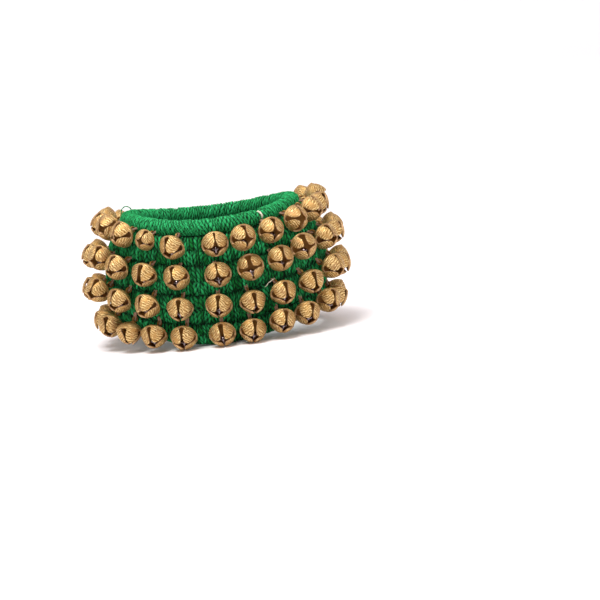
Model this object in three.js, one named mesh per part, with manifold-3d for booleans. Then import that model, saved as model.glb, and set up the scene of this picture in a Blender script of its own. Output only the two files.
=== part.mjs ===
// Ghungroo ankle bells: a padded band of yarn-covered courses that closes round the ankle and
// carries strings of slotted brass bells, each with a loose steel pellet inside.
// Millimetres. +Z runs up the leg, +X from heel to instep, -Y faces the side that is seen first.
import * as THREE from 'three';
import { mergeVertices } from 'three/addons/utils/BufferGeometryUtils.js';
import Module from 'manifold-3d';

const wasm = await Module();
wasm.setup();

// Band round the ankle
const ANKLE_LENGTH = 89;          // inside of the top edge, heel to instep
const ANKLE_WIDTH = 71;           // inside of the top edge, side to side
const PAD_THICKNESS = 7.5;
const LINING_THICKNESS = 1.9;
const ROLL_HEIGHT = 9.2;          // rolled top edge
const BOTTOM_HEIGHT = 13;         // last course, below the lowest bells
const SIDE_SLANT = 6;             // degrees, lean of both edges along the sides of the leg
const END_TOP_SLANT = 45.5;       // degrees, where the band runs out over heel and instep
const END_BOTTOM_SLANT = 28;      // degrees, where it draws in again below them
const SADDLE_RISE = 3.5;          // heel and instep edges ride up, the sides dip
const GROOVE_DEPTH = 1.6;         // between two courses
const CHANNEL_DEPTH = 0.9;        // along the middle of a course
const SHOULDER = 2.6;             // over which a course rises to its crown
const HEM_ROUNDING = 2.2;         // lower edge of the last course
const END_GAP = 3;                // between the two ends of the band

// Closure on the far side
const STRAP_HEIGHT = 34;
const STRAP_THICKNESS = 1.5;
const TAPE_THICKNESS = 0.9;
const TAPE_MARGIN = 3;            // strap edge to tape edge
const STRAP_BELL_CLEARANCE = 2.5;
const CLOSURE_SPACING = 71.6;     // along the band, between the last columns of its two ends

// Bells
const BELL_DIAMETER = 17;         // less where the columns stand closer than this
const PETAL_DEPTH = 8.6;          // seam to mouth
const DOME_HEIGHT = 5.8;          // seam to crown, without the eye
const BELL_WALL = 1.1;
const BELL_RIDGE = 0.25;          // raised seam where the two halves meet
const CROWN_DIAMETER = 5;         // flat on which the eye stands
const SLOT_POLE_WIDTH = 1.3;
const SLOT_RIM_WIDTH = 3;
const SLOT_END = 1.4;             // solid wall left below the seam
const SLOT_ROUNDING = 1.8;        // height of the rounded end of a slot
const PETAL_TIP_RADIUS = 2;       // star where the four petal tips meet
const EYE_NECK = 2.4;             // crown to the middle of the eye
const EYE_WALL = 0.8;
const EYE_WIDTH = 1.4;
const EYE_PLAY = 0.35;            // twine to eye
const PELLET_DIAMETER = 4.4;
const PELLET_CLEARANCE = 0.9;     // to the rounded inside of the bell
const BELL_DROOP = 36;            // degrees, from the pad's normal down to the top row's axes
const ROW_DROOP = -3;             // degrees, added with each row

// Twine and layout
const TWINE_DIAMETER = 1.4;
const STITCH_HALF_WIDTH = 2.6;    // twine crosses from side to side through each eye
const STITCH_LEAD = 2.5;          // run over which it rises to the eye
const TWINE_SLACK = 0.4;          // kept by the straight runs over the bulge of a course
const ROLL_TURNS = [90, 40, -10]; // degrees round the roll at which the twine bends
const TWINE_TAIL = 5;             // below the last eye
const ROWS = 4;
const COLUMNS_PER_SIDE = 9;
const COLUMN_CLEARANCE = 0.6;     // least space between neighbours in a row
const ROW_CLEARANCE = 1.6;        // added to the bell's diameter for the pitch down the band
const FRONT_GAP_EXTRA = 3.7;      // wider space between the two columns at the front
const FRONT_MIDDLE = -11.5;       // along the band, from the side's middle to that space
const LOOSE_FROM = -1;            // first and last column whose bells are separate pieces,
const LOOSE_TO = 2;               // counted from the front space

const SEAT = 0.3;                 // between pieces that lie on each other
const BAND_STEPS = 30;
const STRAP_STEPS = 8;
const PANEL_SPANS = 4;
const ROLL_SIDES = 8;
const TWINE_SIDES = 4;
const ROUTE_SAMPLES = 720;

const DEGREE = Math.PI / 180;
const topLength = ANKLE_LENGTH / 2 + PAD_THICKNESS;
const topWidth = ANKLE_WIDTH / 2 + PAD_THICKNESS;
const rowPitch = BELL_DIAMETER + ROW_CLEARANCE;
const padHeight = ROLL_HEIGHT + rowPitch * (ROWS - 1) + BOTTOM_HEIGHT;
const padBack = -(PAD_THICKNESS - LINING_THICKNESS - SEAT);
const twineRadius = TWINE_DIAMETER / 2;
const twineLevel = SEAT + TWINE_SLACK + twineRadius;
const eyeHole = twineRadius + EYE_PLAY;
const eyeReach = DOME_HEIGHT + EYE_NECK;

function droopOf(row) {
  return (BELL_DROOP + ROW_DROOP * row) * DEGREE;
}

// Height of the eye above the pad at which the leaning dome just clears the twine
function eyeLevel(row) {
  const droop = droopOf(row);
  const domeReach = Math.hypot(
    DOME_HEIGHT * Math.cos(droop),
    bellRadius * Math.sin(droop),
  );
  return twineLevel + twineRadius + SEAT + domeReach - eyeReach * Math.cos(droop);
}

const finishes = {
  yarn: { color: 0x0f8a4a, roughness: 0.95, metalness: 0 },
  lining: { color: 0x0b5a33, roughness: 0.9, metalness: 0 },
  twine: { color: 0xa88a76, roughness: 0.9, metalness: 0 },
  brass: { color: 0xc79a55, roughness: 0.38, metalness: 1 },
  steel: { color: 0xb9bcc0, roughness: 0.25, metalness: 1 },
  webbing: { color: 0x0c6638, roughness: 0.85, metalness: 0 },
  tape: { color: 0x14432b, roughness: 0.8, metalness: 0 },
};

const band = new THREE.Group();

function piece(name, geometry, finish) {
  const mesh = new THREE.Mesh(geometry, new THREE.MeshStandardMaterial(finishes[finish]));
  mesh.name = name;
  return mesh;
}

// Closed mesh with shared corners, as a solid that can be joined and cut
function solidOf(geometry) {
  const bare = geometry.clone();
  bare.deleteAttribute('normal');
  bare.deleteAttribute('uv');
  const merged = mergeVertices(bare, 1e-4);
  const corners = merged.attributes.position.array;
  const kept = [];
  let volume = 0;
  const a = new THREE.Vector3();
  const b = new THREE.Vector3();
  const c = new THREE.Vector3();
  for (let i = 0; i < merged.index.count; i += 3) {
    const [p, q, r] = merged.index.array.slice(i, i + 3);
    if (p !== q && q !== r && r !== p) {
      kept.push([p, q, r]);
      a.fromArray(corners, p * 3);
      b.fromArray(corners, q * 3);
      c.fromArray(corners, r * 3);
      volume += a.dot(b.cross(c));
    }
  }
  const facing = volume < 0 ? kept.map((t) => t.reverse()) : kept;
  return new wasm.Manifold(new wasm.Mesh({
    numProp: 3,
    vertProperties: Float32Array.from(corners),
    triVerts: Uint32Array.from(facing.flat()),
  }));
}

function geometryOf(solid) {
  const mesh = solid.getMesh();
  const geometry = new THREE.BufferGeometry();
  geometry.setAttribute('position', new THREE.BufferAttribute(mesh.vertProperties, 3));
  geometry.setIndex(new THREE.BufferAttribute(mesh.triVerts, 1));
  geometry.computeVertexNormals();
  return geometry;
}

// Outer face of the pad at an angle round the leg and a distance down from the top edge.
// Down each side it is an arc: nearly upright beside the leg, a full bulge over heel and instep.
function padFace(angle, down) {
  const end = Math.sin(angle) ** 2;
  const topSlant = THREE.MathUtils.lerp(SIDE_SLANT, END_TOP_SLANT, end) * DEGREE;
  const bottomSlant = -THREE.MathUtils.lerp(SIDE_SLANT, END_BOTTOM_SLANT, end) * DEGREE;
  const turn = ((bottomSlant - topSlant) * down) / padHeight;
  const chord = turn === 0 ? down : (down * Math.sin(turn / 2)) / (turn / 2);
  const run = chord * Math.sin(topSlant + turn / 2);
  const drop = chord * Math.cos(topSlant + turn / 2);
  const out = new THREE.Vector3(Math.sin(angle) / topLength, -Math.cos(angle) / topWidth, 0);
  out.normalize();
  const slant = topSlant + turn;
  const point = new THREE.Vector3(
    topLength * Math.sin(angle) + run * out.x,
    -topWidth * Math.cos(angle) + run * out.y,
    padHeight / 2 - SADDLE_RISE * Math.cos(2 * angle) - drop,
  );
  const normal = out.clone().multiplyScalar(Math.cos(slant)).setZ(Math.sin(slant));
  const downward = out.clone().multiplyScalar(Math.sin(slant)).setZ(-Math.cos(slant));
  const along = new THREE.Vector3(-out.y, out.x, 0);
  return { point, normal, downward, along };
}

// Distances along the band are measured on its middle line
const middleLine = [{ angle: 0, distance: 0 }];
for (let i = 1; i <= ROUTE_SAMPLES; i += 1) {
  const angle = (2 * Math.PI * i) / ROUTE_SAMPLES;
  const last = middleLine[i - 1];
  const here = padFace(angle, padHeight / 2).point;
  const before = padFace(last.angle, padHeight / 2).point;
  middleLine.push({ angle, distance: last.distance + here.distanceTo(before) });
}
const girth = middleLine[ROUTE_SAMPLES].distance;

function angleAt(distance) {
  const turns = Math.floor(distance / girth);
  const rest = distance - turns * girth;
  const next = Math.max(1, middleLine.findIndex((entry) => entry.distance >= rest));
  const low = middleLine[next - 1];
  const high = middleLine[next];
  const share = (rest - low.distance) / (high.distance - low.distance);
  return THREE.MathUtils.lerp(low.angle, high.angle, share) + turns * 2 * Math.PI;
}

// Body that carries an outline (down the pad, out from its face) from station to station
function sweep(outline, stations, place) {
  const corners = stations.flatMap((station) => outline.flatMap((p) => place(station, p).toArray()));
  const size = outline.length;
  const faces = [];
  for (let i = 0; i + 1 < stations.length; i += 1) {
    for (let j = 0; j < size; j += 1) {
      const k = (j + 1) % size;
      const near = i * size;
      const far = near + size;
      faces.push(near + j, near + k, far + k, near + j, far + k, far + j);
    }
  }
  const lastRing = (stations.length - 1) * size;
  THREE.ShapeUtils.triangulateShape(outline, []).forEach(([a, b, c]) => {
    faces.push(a, c, b, lastRing + a, lastRing + b, lastRing + c);
  });
  const geometry = new THREE.BufferGeometry();
  geometry.setAttribute('position', new THREE.Float32BufferAttribute(corners, 3));
  geometry.setIndex(faces);
  return geometryOf(solidOf(geometry));
}

function outlineOf(points) {
  const outline = points.map(([down, out]) => new THREE.Vector2(down, out));
  return THREE.ShapeUtils.isClockWise(outline) ? outline.reverse() : outline;
}

function onPad(angle, p) {
  const face = padFace(angle, p.x);
  return face.point.addScaledVector(face.normal, p.y);
}

function spread(from, to, steps) {
  return Array.from({ length: steps + 1 }, (_, i) => angleAt(from + ((to - from) * i) / steps));
}

// Padded band: rolled top edge, three courses, a last course and the lining behind them
const closureMiddle = FRONT_MIDDLE + girth / 2;
const bandStations = spread(
  closureMiddle - girth + END_GAP / 2,
  closureMiddle - END_GAP / 2,
  BAND_STEPS,
);
const rollRadius = (ROLL_HEIGHT - SEAT) / 2;
const rollCentre = new THREE.Vector2(ROLL_HEIGHT / 2, SEAT - PAD_THICKNESS / 2);

function onRoll(angle, p) {
  const face = padFace(angle, rollCentre.x);
  return face.point
    .addScaledVector(face.normal, p.y)
    .addScaledVector(face.downward, p.x - rollCentre.x);
}

function rollPoint(radius, angle) {
  return [rollCentre.x - radius * Math.sin(angle), rollCentre.y + radius * Math.cos(angle)];
}

const rollOutline = outlineOf(Array.from({ length: ROLL_SIDES }, (_, i) => (
  rollPoint(rollRadius, (2 * Math.PI * (i + 0.5)) / ROLL_SIDES)
)));
band.add(piece('top_roll', sweep(rollOutline, bandStations, onRoll), 'yarn'));

for (let row = 0; row + 1 < ROWS; row += 1) {
  const top = ROLL_HEIGHT + row * rowPitch + SEAT / 2;
  const bottom = top + rowPitch - SEAT;
  const middle = (top + bottom) / 2;
  const outline = outlineOf([
    [top, padBack],
    [top, -GROOVE_DEPTH],
    [top + SHOULDER, 0],
    [middle - SHOULDER, 0],
    [middle, -CHANNEL_DEPTH],
    [middle + SHOULDER, 0],
    [bottom - SHOULDER, 0],
    [bottom, -GROOVE_DEPTH],
    [bottom, padBack],
  ]);
  band.add(piece(`course_${row + 1}`, sweep(outline, bandStations, onPad), 'yarn'));
}

const lastTop = padHeight - BOTTOM_HEIGHT + SEAT / 2;
const bottomOutline = outlineOf([
  [lastTop, padBack],
  [lastTop, -GROOVE_DEPTH],
  [lastTop + SHOULDER, 0],
  [padHeight - HEM_ROUNDING, 0],
  [padHeight, -HEM_ROUNDING],
  [padHeight, padBack + HEM_ROUNDING / 2],
  [padHeight - HEM_ROUNDING / 2, padBack],
]);
band.add(piece('bottom_course', sweep(bottomOutline, bandStations, onPad), 'yarn'));

const liningOutline = outlineOf([
  [ROLL_HEIGHT, -PAD_THICKNESS],
  [ROLL_HEIGHT, padBack - SEAT],
  [padHeight - HEM_ROUNDING, padBack - SEAT],
  [padHeight - HEM_ROUNDING, -PAD_THICKNESS],
]);
band.add(piece('lining_band', sweep(liningOutline, bandStations, onPad), 'lining'));

// Columns of bells share the girth, outwards from the space at the front
const columnPitch = (girth - FRONT_GAP_EXTRA - CLOSURE_SPACING) / (2 * COLUMNS_PER_SIDE - 1);
const frontGap = columnPitch + FRONT_GAP_EXTRA;
const bellRadius = Math.min(BELL_DIAMETER, columnPitch - COLUMN_CLEARANCE) / 2;

// Strap closed over the two ends of the band, hook tape under its free half, loop tape on the pad
const strapHalf = CLOSURE_SPACING / 2 - bellRadius - STRAP_BELL_CLEARANCE;
const strapRoot = closureMiddle - strapHalf;
const strapTip = closureMiddle + strapHalf;
const strapTop = padHeight / 2 - STRAP_HEIGHT / 2;
const strapBottom = padHeight / 2 + STRAP_HEIGHT / 2;
const tapeStart = closureMiddle + END_GAP;
const tapeEnd = strapTip - TAPE_MARGIN;
const hookLevel = 2 * SEAT + TAPE_THICKNESS;
const strapLevel = hookLevel + TAPE_THICKNESS + SEAT;

// Flat strip that follows the bulge of the pad
function panel(top, bottom, level, thickness) {
  const downs = Array.from({ length: PANEL_SPANS + 1 }, (_, i) => (
    THREE.MathUtils.lerp(top, bottom, i / PANEL_SPANS)
  ));
  return outlineOf([
    ...downs.map((down) => [down, level + thickness]),
    ...downs.reverse().map((down) => [down, level]),
  ]);
}

const tapeTop = strapTop + TAPE_MARGIN;
const tapeBottom = strapBottom - TAPE_MARGIN;
const tapeStations = spread(tapeStart, tapeEnd, STRAP_STEPS / 2);
const loopOutline = panel(tapeTop, tapeBottom, SEAT, TAPE_THICKNESS);
const hookOutline = panel(tapeTop, tapeBottom, hookLevel, TAPE_THICKNESS);
band.add(piece('loop_tape', sweep(loopOutline, tapeStations, onPad), 'tape'));
band.add(piece('hook_tape', sweep(hookOutline, tapeStations, onPad), 'tape'));

// The strap lies on the pad at its sewn root and rises over the tapes
const strapSpan = strapTip - strapRoot;
const strapStations = Array.from({ length: STRAP_STEPS + 1 }, (_, i) => {
  const distance = strapRoot + (strapSpan * i) / STRAP_STEPS;
  const rise = THREE.MathUtils.smoothstep(distance, strapRoot, closureMiddle);
  return { angle: angleAt(distance), lift: rise * (strapLevel - SEAT) };
});
const strapOutline = panel(strapTop, strapBottom, SEAT, STRAP_THICKNESS);
const onStrap = (station, p) => onPad(station.angle, new THREE.Vector2(p.x, p.y + station.lift));
band.add(piece('closure_strap', sweep(strapOutline, strapStations, onStrap), 'webbing'));

// Strip of triangles between two rows of corners that run the same way, by their keys
function stitch(faces, first, second) {
  let i = 0;
  let j = 0;
  while (i + 1 < first.length || j + 1 < second.length) {
    const canStepFirst = i + 1 < first.length;
    const canStepSecond = j + 1 < second.length;
    const firstIsNext = canStepFirst && canStepSecond
      ? first[i].key + first[i + 1].key <= second[j].key + second[j + 1].key
      : canStepFirst;
    if (firstIsNext) {
      faces.push(first[i].corner, first[i + 1].corner, second[j].corner);
      i += 1;
    } else {
      faces.push(first[i].corner, second[j + 1].corner, second[j].corner);
      j += 1;
    }
  }
}

function closedRow(row) {
  return [...row, { corner: row[0].corner, key: row[0].key + 2 * Math.PI }];
}

const shellRadius = bellRadius - BELL_RIDGE;
const slotEndAngle = Math.acos(SLOT_END / PETAL_DEPTH);
const slotWidestAngle = Math.acos((SLOT_END + SLOT_ROUNDING) / PETAL_DEPTH);
const petalTipAngle = Math.asin(PETAL_TIP_RADIUS / shellRadius);

function slotHalfWidth(polar) {
  if (polar > slotWidestAngle) {
    return THREE.MathUtils.mapLinear(
      polar,
      slotWidestAngle,
      slotEndAngle,
      SLOT_RIM_WIDTH / 2,
      SLOT_RIM_WIDTH / 4,
    );
  }
  return THREE.MathUtils.mapLinear(
    polar,
    petalTipAngle,
    slotWidestAngle,
    SLOT_POLE_WIDTH / 2,
    SLOT_RIM_WIDTH / 2,
  );
}

// Slotted bell about the middle of its seam: mouth at -Z, where two crossing slots leave four
// petals, dome and eye at +Z. Rows of corners run round at polar angles measured from the mouth.
function bellShell({ outerLevels, innerLevels, tipShares, ridged, domeRings, innerRings }) {
  const corners = [];
  const faces = [];
  const cornerAt = (radius, height, turn) => {
    corners.push(radius * Math.cos(turn), radius * Math.sin(turn), height);
    return { corner: corners.length / 3 - 1, key: turn };
  };
  const petalRow = (petal, polar, wide, tall, shares) => {
    const radius = wide * Math.sin(polar);
    const reach = Math.PI / 4 - Math.asin(slotHalfWidth(polar) / radius);
    return shares.map((share) => cornerAt(
      radius,
      -tall * Math.cos(polar),
      Math.PI / 4 + (petal * Math.PI) / 2 + share * reach,
    ));
  };
  const petalRows = (petal, levels, wide, tall) => levels.map((polar, i) => (
    petalRow(petal, polar, wide, tall, i === 0 ? tipShares : [-1, 0, 1])
  ));
  const ringRow = ({ radius, height, count }) => Array.from({ length: count }, (_, i) => (
    cornerAt(radius, height, (2 * Math.PI * (i + 0.5)) / count)
  ));
  const edge = (rows, levels, end) => rows.map((row, i) => ({
    corner: row[end < 0 ? 0 : row.length - 1].corner,
    key: levels[i],
  }));
  const outerRadius = ridged ? shellRadius : bellRadius;
  const petals = [0, 1, 2, 3].map((petal) => ({
    outer: petalRows(petal, outerLevels, outerRadius, PETAL_DEPTH),
    inner: petalRows(petal, innerLevels, bellRadius - BELL_WALL, PETAL_DEPTH - BELL_WALL),
  }));
  petals.forEach(({ outer, inner }, petal) => {
    outer.slice(1).forEach((row, i) => stitch(faces, outer[i], row));
    inner.slice(1).forEach((row, i) => stitch(faces, row, inner[i]));
    stitch(faces, inner[0], outer[0]);
    stitch(faces, edge(outer, outerLevels, -1), edge(inner, innerLevels, -1));
    stitch(faces, edge(inner, innerLevels, 1), edge(outer, outerLevels, 1));
    const next = petals[(petal + 1) % petals.length];
    const innerEnd = [inner.at(-1)[2], next.inner.at(-1)[0]];
    const outerEnd = [outer.at(-1)[2], next.outer.at(-1)[0]];
    stitch(faces, innerEnd, outerEnd);
  });
  const outerRim = petals.flatMap(({ outer }) => outer.at(-1));
  const innerRim = petals.flatMap(({ inner }) => inner.at(-1));
  const ridges = ridged ? [outerRim.map(({ key }) => cornerAt(bellRadius, 0, key))] : [];
  const outerRows = [outerRim, ...ridges, ...domeRings.map(ringRow)];
  outerRows.slice(1).forEach((row, i) => {
    stitch(faces, closedRow(outerRows[i]), closedRow(row));
  });
  stitch(faces, closedRow(outerRows.at(-1)), [cornerAt(0, domeRings.at(-1).height, 0)]);
  const innerRows = [innerRim, ...innerRings.map(ringRow)];
  innerRows.slice(1).forEach((row, i) => {
    stitch(faces, closedRow(row), closedRow(innerRows[i]));
  });
  stitch(faces, [cornerAt(0, DOME_HEIGHT - BELL_WALL, 0)], closedRow(innerRows.at(-1)));
  const geometry = new THREE.BufferGeometry();
  geometry.setAttribute('position', new THREE.Float32BufferAttribute(corners, 3));
  geometry.setIndex(faces);
  return solidOf(geometry);
}

function domeRing(polarDegrees, inset, count) {
  const polar = polarDegrees * DEGREE;
  return {
    radius: (shellRadius - inset) * Math.sin(polar),
    height: -(DOME_HEIGHT - inset) * Math.cos(polar),
    count,
  };
}

// Pierced tab that stands on the crown, with its hole along the row of bells
function eyeTab() {
  const radius = eyeHole + EYE_WALL;
  const foot = DOME_HEIGHT - BELL_WALL / 2;
  const shape = new THREE.Shape();
  shape.moveTo(radius, foot);
  shape.absarc(0, eyeReach, radius, 0, Math.PI, false);
  shape.lineTo(-radius, foot);
  shape.holes.push(new THREE.Path().absarc(0, eyeReach, eyeHole, 0, 2 * Math.PI, true));
  const tab = new THREE.ExtrudeGeometry(shape, {
    depth: EYE_WIDTH,
    bevelEnabled: false,
    curveSegments: 3,
  });
  tab.translate(0, 0, -EYE_WIDTH / 2).applyMatrix4(new THREE.Matrix4().makeBasis(
    new THREE.Vector3(0, 1, 0),
    new THREE.Vector3(0, 0, 1),
    new THREE.Vector3(1, 0, 0),
  ));
  return solidOf(tab);
}

const petalMiddleAngle = (petalTipAngle + slotWidestAngle) / 2;
const crown = { radius: CROWN_DIAMETER / 2, height: DOME_HEIGHT };

// Bell that hangs by itself in its eye
const looseBell = geometryOf(bellShell({
  outerLevels: [petalTipAngle, petalMiddleAngle, slotWidestAngle, slotEndAngle],
  innerLevels: [petalTipAngle, slotWidestAngle, slotEndAngle],
  tipShares: [-1, 0, 1],
  ridged: true,
  domeRings: [domeRing(125, 0, 12), { ...crown, count: 6 }],
  innerRings: [domeRing(130, BELL_WALL, 6)],
}).add(eyeTab()));

// Plainer bell of a string, whose neck is worked into the twine
const neck = { radius: EYE_WIDTH, count: 3 };
const stringBell = geometryOf(bellShell({
  outerLevels: [petalTipAngle, slotWidestAngle, slotEndAngle],
  innerLevels: [petalTipAngle, slotEndAngle],
  tipShares: [0],
  ridged: false,
  domeRings: [domeRing(130, 0, 6), { ...neck, height: DOME_HEIGHT }, { ...neck, height: eyeReach }],
  innerRings: [],
}));

function tieLevel(row) {
  return ROLL_HEIGHT + row * rowPitch;
}

// Eye of one bell: a group turned so that the bell hangs along its -Z
function eyeOf(distance, row) {
  const face = padFace(angleAt(distance), tieLevel(row));
  const droop = droopOf(row);
  const axis = face.normal.clone().multiplyScalar(-Math.cos(droop));
  axis.addScaledVector(face.downward, -Math.sin(droop));
  const eye = new THREE.Group();
  eye.position.copy(face.point).addScaledVector(face.normal, eyeLevel(row));
  eye.quaternion.setFromRotationMatrix(new THREE.Matrix4().makeBasis(
    face.along,
    axis.clone().cross(face.along),
    axis,
  ));
  return eye;
}

// Straight stretches of twine from turn to turn stay clear of the round roll
const rollStep = (ROLL_TURNS[0] - ROLL_TURNS[1]) * DEGREE;
const rollReach = (rollRadius + SEAT + twineRadius) / Math.cos(rollStep / 2);

// Twine of one column: over the roll, then from side to side through the eyes, down the pad
function twineRoute(distance) {
  const route = [];
  const lay = (side, place, down, out) => {
    const angle = angleAt(distance + side);
    const { normal } = padFace(angle, down);
    route.push({ point: place(angle, new THREE.Vector2(down, out)), normal });
  };
  ROLL_TURNS.forEach((turn) => {
    lay(-STITCH_HALF_WIDTH, onRoll, ...rollPoint(rollReach, turn * DEGREE));
  });
  for (let row = 0; row < ROWS; row += 1) {
    const side = row % 2 === 0 ? -STITCH_HALF_WIDTH : STITCH_HALF_WIDTH;
    const { normal } = padFace(angleAt(distance), tieLevel(row));
    const eye = eyeOf(distance, row);
    lay(side, onPad, tieLevel(row) - STITCH_LEAD, twineLevel);
    [side, -side].forEach((shift) => {
      const point = new THREE.Vector3(shift, 0, 0).applyQuaternion(eye.quaternion);
      route.push({ point: point.add(eye.position), normal });
    });
  }
  const lastSide = ROWS % 2 === 0 ? -STITCH_HALF_WIDTH : STITCH_HALF_WIDTH;
  lay(lastSide, onPad, tieLevel(ROWS - 1) + TWINE_TAIL, twineLevel);
  return route;
}

function twine(distance) {
  const route = twineRoute(distance);
  const stations = route.map(({ point, normal }, i) => {
    const before = route[Math.max(i - 1, 0)].point;
    const after = route[Math.min(i + 1, route.length - 1)].point;
    const ahead = after.clone().sub(before).normalize();
    const across = ahead.clone().cross(normal).normalize();
    return { point, across, up: across.clone().cross(ahead) };
  });
  const outline = outlineOf(Array.from({ length: TWINE_SIDES }, (_, i) => {
    const angle = (2 * Math.PI * i) / TWINE_SIDES;
    return [twineRadius * Math.cos(angle), twineRadius * Math.sin(angle)];
  }));
  const place = ({ point, across, up }, p) => (
    point.clone().addScaledVector(across, p.x).addScaledVector(up, p.y)
  );
  return sweep(outline, stations, place);
}

// The pellet lies at the lowest place inside its bell
function pelletPlace(eye) {
  const low = new THREE.Vector3(0, 0, -1).applyQuaternion(eye.quaternion.clone().invert());
  const margin = BELL_WALL + PELLET_DIAMETER / 2 + PELLET_CLEARANCE;
  const wide = bellRadius - margin;
  const tall = PETAL_DEPTH - margin;
  const reach = 1 / Math.hypot(low.x / wide, low.y / wide, low.z / tall);
  return low.multiplyScalar(reach).add(new THREE.Vector3(0, 0, -eyeReach));
}

for (let column = -COLUMNS_PER_SIDE; column < COLUMNS_PER_SIDE; column += 1) {
  const steps = column < 0 ? column + 1 : column;
  const side = column < 0 ? -1 : 1;
  const distance = FRONT_MIDDLE + (side * frontGap) / 2 + steps * columnPitch;
  const label = String(column + COLUMNS_PER_SIDE + 1).padStart(2, '0');
  const thread = twine(distance);
  const loose = column >= LOOSE_FROM && column <= LOOSE_TO;
  let joined = loose ? null : solidOf(thread);
  for (let row = 0; row < ROWS; row += 1) {
    const eye = eyeOf(distance, row);
    if (loose) {
      const bell = piece(`bell_${label}_${row + 1}`, looseBell, 'brass');
      bell.position.set(0, 0, -eyeReach);
      const ball = new THREE.SphereGeometry(PELLET_DIAMETER / 2, 6, 4);
      const pellet = piece(`pellet_${label}_${row + 1}`, geometryOf(solidOf(ball)), 'steel');
      pellet.position.copy(pelletPlace(eye));
      eye.add(bell, pellet);
      band.add(eye);
    } else {
      eye.updateMatrix();
      const bell = stringBell.clone().translate(0, 0, -eyeReach).applyMatrix4(eye.matrix);
      joined = joined.add(solidOf(bell));
    }
  }
  if (loose) {
    band.add(piece(`twine_${label}`, thread, 'twine'));
  } else {
    band.add(piece(`bell_string_${label}`, geometryOf(joined), 'brass'));
  }
}

export default band;
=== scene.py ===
import bisect
import functools
import random
from math import acos, asin, atan2, cos, exp, hypot, pi, radians, sin, sqrt

import bmesh
import bpy
from mathutils import Matrix, Vector


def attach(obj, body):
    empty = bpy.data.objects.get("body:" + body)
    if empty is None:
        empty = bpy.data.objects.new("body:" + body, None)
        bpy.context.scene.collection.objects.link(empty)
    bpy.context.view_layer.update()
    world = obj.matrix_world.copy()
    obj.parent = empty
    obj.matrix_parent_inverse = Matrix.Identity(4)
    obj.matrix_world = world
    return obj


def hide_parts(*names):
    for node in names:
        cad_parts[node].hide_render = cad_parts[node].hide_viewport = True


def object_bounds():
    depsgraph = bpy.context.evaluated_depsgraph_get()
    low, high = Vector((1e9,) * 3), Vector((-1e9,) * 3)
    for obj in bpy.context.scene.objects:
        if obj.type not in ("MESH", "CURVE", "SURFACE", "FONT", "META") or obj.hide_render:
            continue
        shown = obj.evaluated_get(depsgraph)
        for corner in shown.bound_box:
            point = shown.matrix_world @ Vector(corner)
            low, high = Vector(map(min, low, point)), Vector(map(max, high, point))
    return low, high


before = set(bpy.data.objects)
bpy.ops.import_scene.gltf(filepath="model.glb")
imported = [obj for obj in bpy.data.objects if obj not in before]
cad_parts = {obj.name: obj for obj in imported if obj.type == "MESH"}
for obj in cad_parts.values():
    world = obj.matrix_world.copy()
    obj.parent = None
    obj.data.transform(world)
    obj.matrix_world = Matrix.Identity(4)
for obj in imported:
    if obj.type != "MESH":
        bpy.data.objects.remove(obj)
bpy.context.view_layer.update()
scene = bpy.context.scene
mm = 0.001  # lengths below are millimetres until a mesh is finished


def addObject(name, data):
    made = bpy.data.objects.new(name, data)
    scene.collection.objects.link(made)
    return made


def toMesh(bm, name, materials=()):
    mesh = bpy.data.meshes.new(name)
    bm.to_mesh(mesh)
    bm.free()
    for material in materials:
        mesh.materials.append(material)
    return mesh


def smoothFaces(faces):
    for face in faces:
        face.smooth = True


# Camera at the photo's angle
stage = {
    "elevation": 7.5, "roll": 6.77, "distance": 1.6, "lens": 150.7, "sensor": 36, "clipEnd": 20,
    "framePx": 600, "middlePx": (216.4, 267.7),  # where the photo shows the origin
}
camera = addObject("camera", bpy.data.cameras.new("camera"))
scene.camera = camera
camera.data.lens = stage["lens"]
camera.data.sensor_width = stage["sensor"]
camera.data.shift_x = (stage["framePx"] / 2 - stage["middlePx"][0]) / stage["framePx"]
camera.data.shift_y = (stage["middlePx"][1] - stage["framePx"] / 2) / stage["framePx"]
camera.data.clip_end = stage["clipEnd"]
standing = (
    Matrix.Rotation(radians(90 - stage["elevation"]), 4, "X")
    @ Matrix.Translation((0, 0, stage["distance"]))
    @ Matrix.Rotation(radians(-stage["roll"]), 4, "Z")
)
camera.matrix_world = standing
cameraSpot = standing.translation / mm


def sightLine(pixel):  # direction from the camera through a pixel of the photo
    focal = stage["lens"] / stage["sensor"] * stage["framePx"]
    right = (pixel[0] - stage["middlePx"][0]) / focal
    up = (stage["middlePx"][1] - pixel[1]) / focal
    return (standing.to_3x3() @ Vector((right, up, -1))).normalized()


def onSphere(middle, radius, pixel, near):  # place on a sphere that shows at a pixel, the nearer of two
    ahead = sightLine(pixel)
    foot = cameraSpot + ahead * (middle - cameraSpot).dot(ahead)
    apart = foot - middle
    if apart.length >= radius:
        return middle + apart.normalized() * radius
    back = sqrt(radius ** 2 - apart.length_squared)
    return min((foot - ahead * back, foot + ahead * back), key=lambda spot: (spot - near).length)


# Band: the same oval, slants and tie lines as the solids
pad = {
    "ankleLength": 89, "ankleWidth": 71, "thickness": 7.5, "liningThickness": 1.9, "seat": 0.3,
    "rollHeight": 9.2, "rowPitch": 18.6, "rows": 4, "bottomHeight": 13,
    "sideSlant": 6, "endTopSlant": 45.5, "endBottomSlant": 28, "saddleRise": 3.5,  # degrees, then mm
    "frontMiddle": -11.5, "frontGapExtra": 3.7, "columnsPerSide": 9, "closureSpacing": 71.6, "endGap": 3,
    "girthSteps": 720,
}
pad["height"] = pad["rollHeight"] + pad["rowPitch"] * (pad["rows"] - 1) + pad["bottomHeight"]
topLength = pad["ankleLength"] / 2 + pad["thickness"]
topWidth = pad["ankleWidth"] / 2 + pad["thickness"]
padBack = -(pad["thickness"] - pad["liningThickness"] - pad["seat"])


def mix(a, b, share):
    return a + (b - a) * share


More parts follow.
